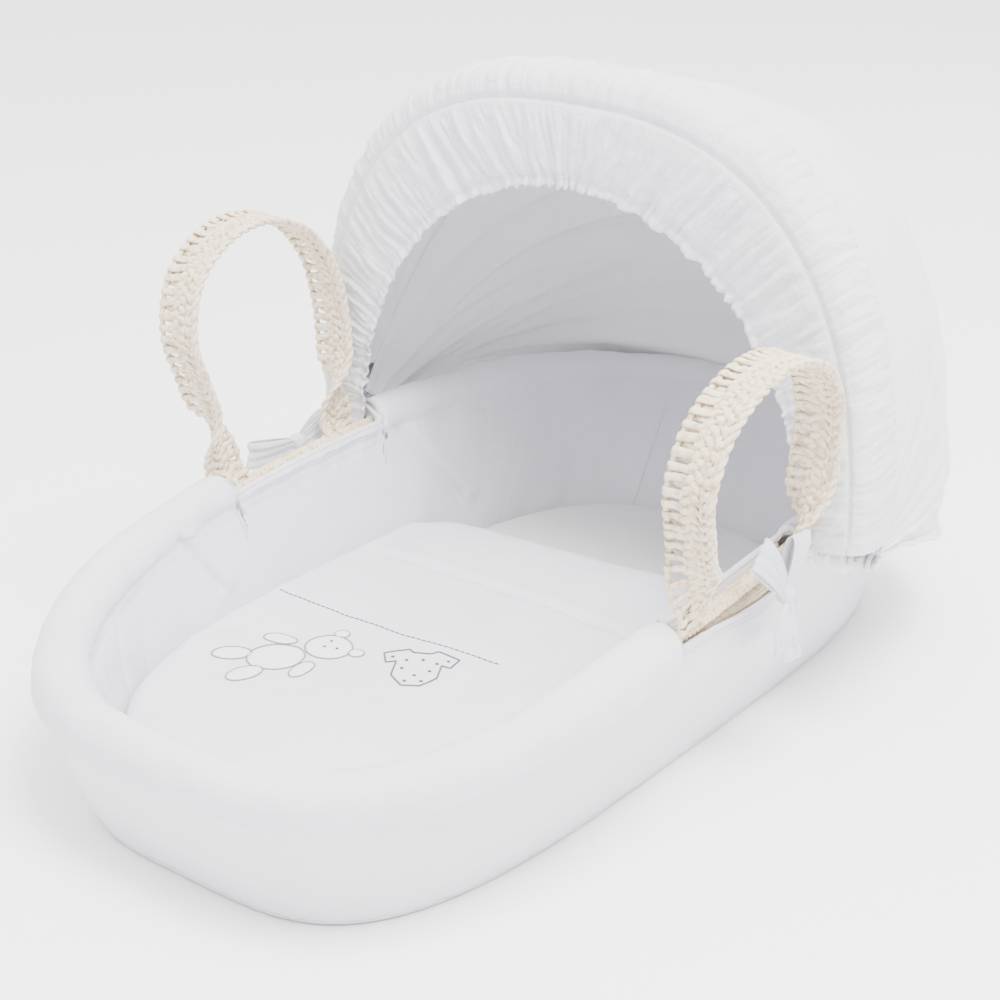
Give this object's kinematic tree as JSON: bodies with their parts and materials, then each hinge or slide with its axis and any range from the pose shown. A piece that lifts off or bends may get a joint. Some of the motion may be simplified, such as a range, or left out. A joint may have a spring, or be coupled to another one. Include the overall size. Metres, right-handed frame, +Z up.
{
  "type": "moses basket",
  "caption": "Woven palm baby basket with a padded white liner, mattress, coverlet, carrying straps and a folding gathered fabric hood.",
  "frame": {"origin": "on the floor under the middle of the whole object's box", "axes": "+Z up, +Y towards the head end that the hood covers, +X across, towards the right-hand strap"},
  "size_m": [0.537, 0.8432, 0.4918],
  "materials": {
    "palm": "woven palm leaf",
    "palm_strap": "woven palm leaf",
    "liner": "padded cotton",
    "skirt": "cotton",
    "sheet": "cotton jersey",
    "foam": "polyurethane foam",
    "coverlet": "padded cotton",
    "hood": "cotton",
    "frill": "gathered cotton",
    "ribbon": "cotton ribbon",
    "elastic": "rolled elastic hem",
    "wire": "white coated wire",
    "plastic": "satin",
    "steel": "zinc plated"
  },
  "bodies": {
    "root": {"basket_base": "palm", "basket_wall": "palm", "rim_braid": "palm", "strap_end_left_foot": "palm_strap", "strap_end_left_head": "palm_strap", "strap_end_right_foot": "palm_strap", "strap_end_right_head": "palm_strap", "liner_bumper": "liner", "liner_skirt": "skirt", "skirt_hem_cord": "elastic", "tie_bow_left": "ribbon", "tie_bow_right": "ribbon"},
    "strap_left": {"handle_left": "palm_strap"},
    "strap_right": {"handle_right": "palm_strap"},
    "mattress": {"mattress_foam": "foam", "fitted_sheet": "sheet"},
    "quilt": {"coverlet": "coverlet"},
    "hood_base": {"hood_cover_rear": "hood", "hood_hoop_rear": "wire", "hood_hem_cord": "elastic", "hood_bracket_left": "plastic", "hood_bracket_right": "plastic", "hood_pin_left": "steel", "hood_pin_right": "steel"},
    "hood_mid": {"hood_cover_mid": "hood", "hood_hoop_mid": "wire"},
    "hood_front": {"hood_cover_front": "hood", "hood_hoop_front": "wire", "hood_frill": "frill"}
  },
  "joints": [
    {"name": "strap_left_swing", "type": "hinge", "parent": "root", "child": "strap_left", "pos_m": [-0.2235, -0.00215, 0.16], "axis": [0, -1, 0], "range_deg": [-50, 105]},
    {"name": "strap_right_swing", "type": "hinge", "parent": "root", "child": "strap_right", "pos_m": [0.2235, -0.00215, 0.16], "axis": [0, 1, 0], "range_deg": [-50, 105]},
    {"name": "mattress_lift", "type": "slide", "parent": "root", "child": "mattress", "axis": [0, 0, 1], "range_m": [0, 0.05]},
    {"name": "coverlet_lift", "type": "slide", "parent": "mattress", "child": "quilt", "axis": [0, 0, 1], "range_m": [0, 0.035]},
    {"name": "hood_lift", "type": "slide", "parent": "root", "child": "hood_base", "axis": [0, 0, 1], "range_m": [0, 0.12]},
    {"name": "hood_mid_fold", "type": "hinge", "parent": "hood_base", "child": "hood_mid", "pos_m": [0, 0.09385, 0.149], "axis": [-1, 0, 0], "range_deg": [0, 28.5]},
    {"name": "hood_front_fold", "type": "hinge", "parent": "hood_mid", "child": "hood_front", "pos_m": [0, 0.09385, 0.149], "axis": [-1, 0, 0], "range_deg": [0, 28.5]}
  ],
  "couplings": [
    {"joint": "hood_front_fold", "follows": "hood_mid_fold", "ratio": 1}
  ]
}
